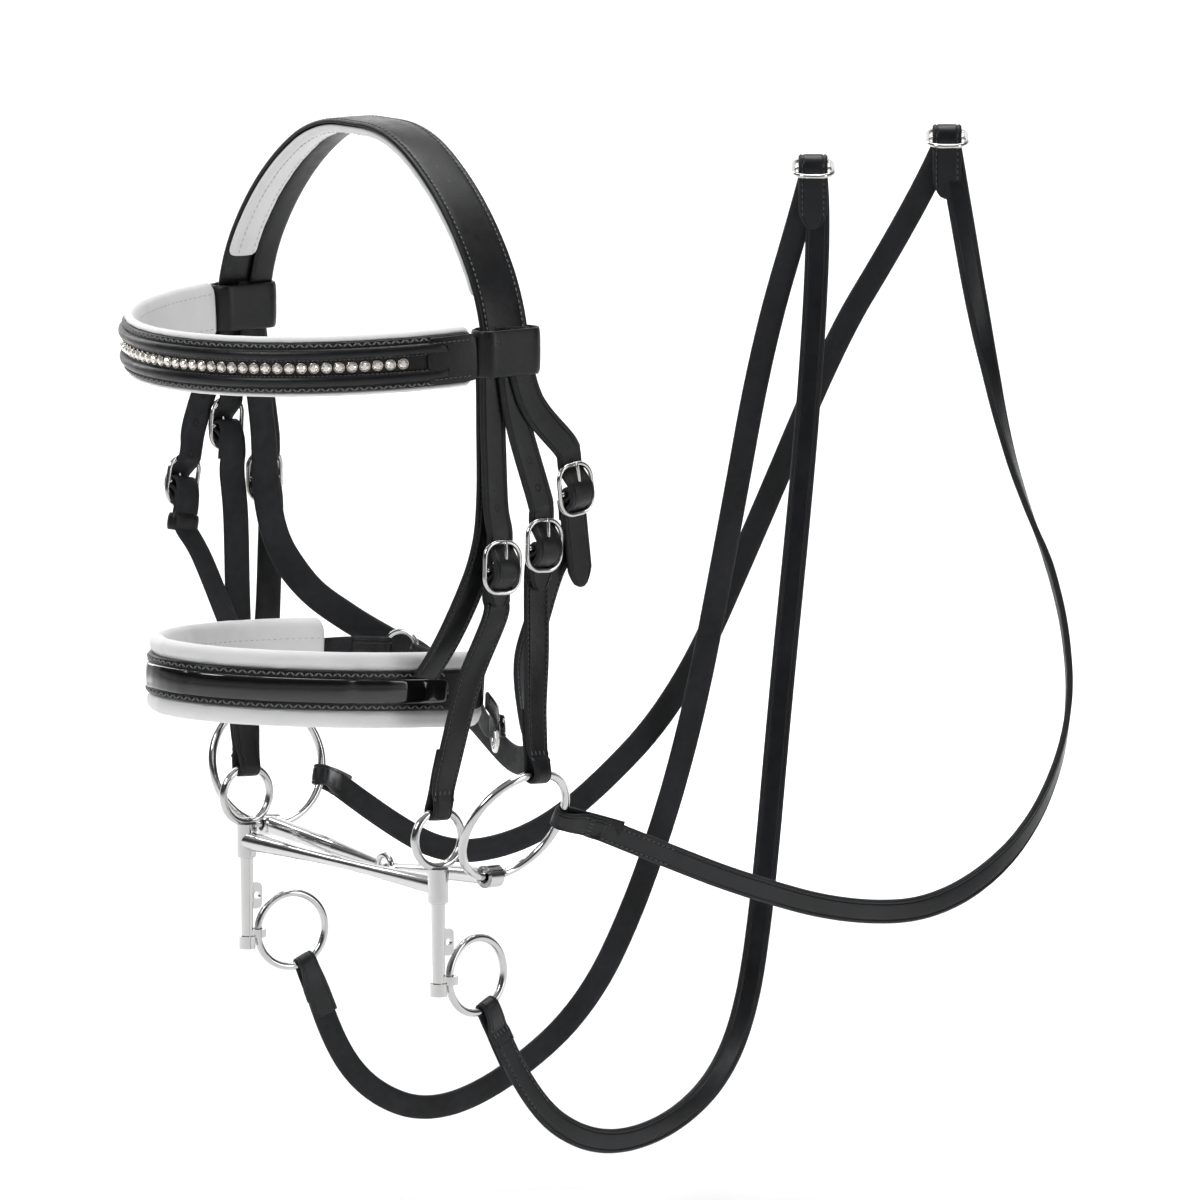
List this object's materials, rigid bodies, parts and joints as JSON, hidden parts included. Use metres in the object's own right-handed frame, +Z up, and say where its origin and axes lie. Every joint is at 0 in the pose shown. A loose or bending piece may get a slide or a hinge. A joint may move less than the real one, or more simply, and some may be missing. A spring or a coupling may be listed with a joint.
{
  "type": "double bridle",
  "caption": "Small double bridle with curb and bradoon bits, padded crown and noseband, crystal browband and two pairs of flat reins.",
  "frame": {"origin": "poll seat: the middle of the flat on the crown padding's underside, where the bridle hangs on the poll", "axes": "+Z up; the horse looks along -Y, so the browband and noseband are in front at -Y and the reins run back along +Y; +X is the horse's left, the near side"},
  "size_m": [0.2084, 0.407, 0.4222],
  "materials": {
    "black_leather": "satin",
    "rein_leather": "satin",
    "patent_leather": "gloss",
    "white_padding": "matte",
    "crystal": "faceted",
    "polished_metal": "polished"
  },
  "bodies": {
    "bridle": {"bradoon_rein_far": "rein_leather", "bradoon_rein_loop_far": "rein_leather", "bradoon_rein_loop_near": "rein_leather", "bradoon_rein_near": "rein_leather", "browband_crystals": "crystal", "browband_loops": "black_leather", "browband_padding": "white_padding", "browband_rolls": "black_leather", "browband_strap": "black_leather", "chin_buckle_frame": "polished_metal", "chin_end_straps": "black_leather", "chin_ring": "polished_metal", "chin_strap": "black_leather", "crown_padding": "white_padding", "crown_strap": "black_leather", "curb_rein_far": "rein_leather", "curb_rein_near": "rein_leather", "far_bradoon_buckle_frame": "polished_metal", "far_bradoon_cheek": "black_leather", "far_bradoon_point": "black_leather", "far_curb_buckle_frame": "polished_metal", "far_curb_cheek": "black_leather", "far_curb_point": "black_leather", "far_nose_buckle_frame": "polished_metal", "far_nose_point": "black_leather", "far_noseband_hanger": "black_leather", "near_bradoon_buckle_frame": "polished_metal", "near_bradoon_cheek": "black_leather", "near_bradoon_point": "black_leather", "near_curb_buckle_frame": "polished_metal", "near_curb_cheek": "black_leather", "near_curb_point": "black_leather", "near_noseband_hanger": "black_leather", "near_throat_buckle_frame": "polished_metal", "near_throat_point": "black_leather", "noseband_padding": "white_padding", "noseband_patent": "patent_leather", "noseband_strap": "black_leather", "rein_top_buckles": "polished_metal", "rein_top_folds": "rein_leather", "sliphead": "black_leather", "throatlash": "black_leather"},
    "curb_bit": {"curb_mouthpiece": "polished_metal", "curb_cheekpiece_near": "polished_metal", "curb_cheekpiece_far": "polished_metal", "curb_rein_loop_near": "rein_leather", "curb_rein_loop_far": "rein_leather"},
    "curb_rein_ring_near": {"curb_rein_ring_near": "polished_metal"},
    "bradoon_arm_near": {"bradoon_arm_near": "polished_metal"},
    "bradoon_ring_near": {"bradoon_ring_near": "polished_metal"},
    "curb_rein_ring_far": {"curb_rein_ring_far": "polished_metal"},
    "bradoon_arm_far": {"bradoon_arm_far": "polished_metal"},
    "bradoon_ring_far": {"bradoon_ring_far": "polished_metal"},
    "near_curb_buckle_tongue": {"near_curb_buckle_tongue": "polished_metal"},
    "near_bradoon_buckle_tongue": {"near_bradoon_buckle_tongue": "polished_metal"},
    "near_throat_buckle_tongue": {"near_throat_buckle_tongue": "polished_metal"},
    "far_curb_buckle_tongue": {"far_curb_buckle_tongue": "polished_metal"},
    "far_nose_buckle_tongue": {"far_nose_buckle_tongue": "polished_metal"},
    "far_bradoon_buckle_tongue": {"far_bradoon_buckle_tongue": "polished_metal"},
    "chin_buckle_tongue": {"chin_buckle_tongue": "polished_metal"}
  },
  "joints": [
    {"name": "curb_swing", "type": "hinge", "parent": "bridle", "child": "curb_bit", "pos_m": [0, -0.015, -0.276], "axis": [1, 0, 0], "range_deg": [-30, 12], "deforming": ["curb_rein_near", "curb_rein_far"]},
    {"name": "bradoon_near_swing", "type": "hinge", "parent": "bridle", "child": "bradoon_arm_near", "pos_m": [0, 0.006, -0.268], "axis": [1, 0, 0], "range_deg": [-4, 10]},
    {"name": "bradoon_far_swing", "type": "hinge", "parent": "bridle", "child": "bradoon_arm_far", "pos_m": [0, 0.006, -0.268], "axis": [1, 0, 0], "range_deg": [-4, 10]},
    {"name": "curb_rein_ring_near_spin", "type": "hinge", "parent": "curb_bit", "child": "curb_rein_ring_near", "pos_m": [0.06522, 0.00521, -0.3336], "axis": [0.9877, 0.1564, 0], "continuous": true},
    {"name": "bradoon_ring_near_spin", "type": "hinge", "parent": "bridle", "child": "bradoon_ring_near", "pos_m": [0.09019, 0.00597, -0.2695], "axis": [0.8651, 0.0983, -0.4919], "continuous": true},
    {"name": "curb_rein_ring_far_spin", "type": "hinge", "parent": "curb_bit", "child": "curb_rein_ring_far", "pos_m": [-0.06522, 0.00521, -0.3336], "axis": [-0.9877, 0.1564, 0], "continuous": true},
    {"name": "bradoon_ring_far_spin", "type": "hinge", "parent": "bridle", "child": "bradoon_ring_far", "pos_m": [-0.08323, 0.00597, -0.2669], "axis": [-0.9711, 0.0983, -0.2175], "continuous": true},
    {"name": "near_curb_tongue_turn", "type": "hinge", "parent": "bridle", "child": "near_curb_buckle_tongue", "pos_m": [0.09463, -0.00279, -0.16577], "axis": [0.0527, 0.9969, -0.0577], "range_deg": [0, 70]},
    {"name": "near_bradoon_tongue_turn", "type": "hinge", "parent": "bridle", "child": "near_bradoon_buckle_tongue", "pos_m": [0.09613, 0.01655, -0.15836], "axis": [0.0015, 0.9988, -0.0499], "range_deg": [0, 70]},
    {"name": "near_throat_tongue_turn", "type": "hinge", "parent": "bridle", "child": "near_throat_buckle_tongue", "pos_m": [0.09659, 0.03185, -0.13699], "axis": [-0.0496, 0.9917, 0.119], "range_deg": [0, 70]},
    {"name": "far_curb_tongue_turn", "type": "hinge", "parent": "bridle", "child": "far_curb_buckle_tongue", "pos_m": [-0.09357, -0.0065, -0.128], "axis": [0.0994, -0.994, 0.0467], "range_deg": [0, 70]},
    {"name": "far_nose_tongue_turn", "type": "hinge", "parent": "bridle", "child": "far_nose_buckle_tongue", "pos_m": [-0.09552, -0.02687, -0.14998], "axis": [0.1456, -0.971, 0.1898], "range_deg": [0, 70]},
    {"name": "far_bradoon_tongue_turn", "type": "hinge", "parent": "bridle", "child": "far_bradoon_buckle_tongue", "pos_m": [-0.0941, 0.0125, -0.151], "axis": [0, -1, 0], "range_deg": [0, 70]},
    {"name": "chin_tongue_turn", "type": "hinge", "parent": "bridle", "child": "chin_buckle_tongue", "pos_m": [0.04354, 0.03043, -0.23895], "axis": [-0.389, 0.2262, 0.893], "range_deg": [0, 60]}
  ],
  "couplings": [
    {"joint": "bradoon_far_swing", "follows": "bradoon_near_swing", "ratio": 1}
  ]
}
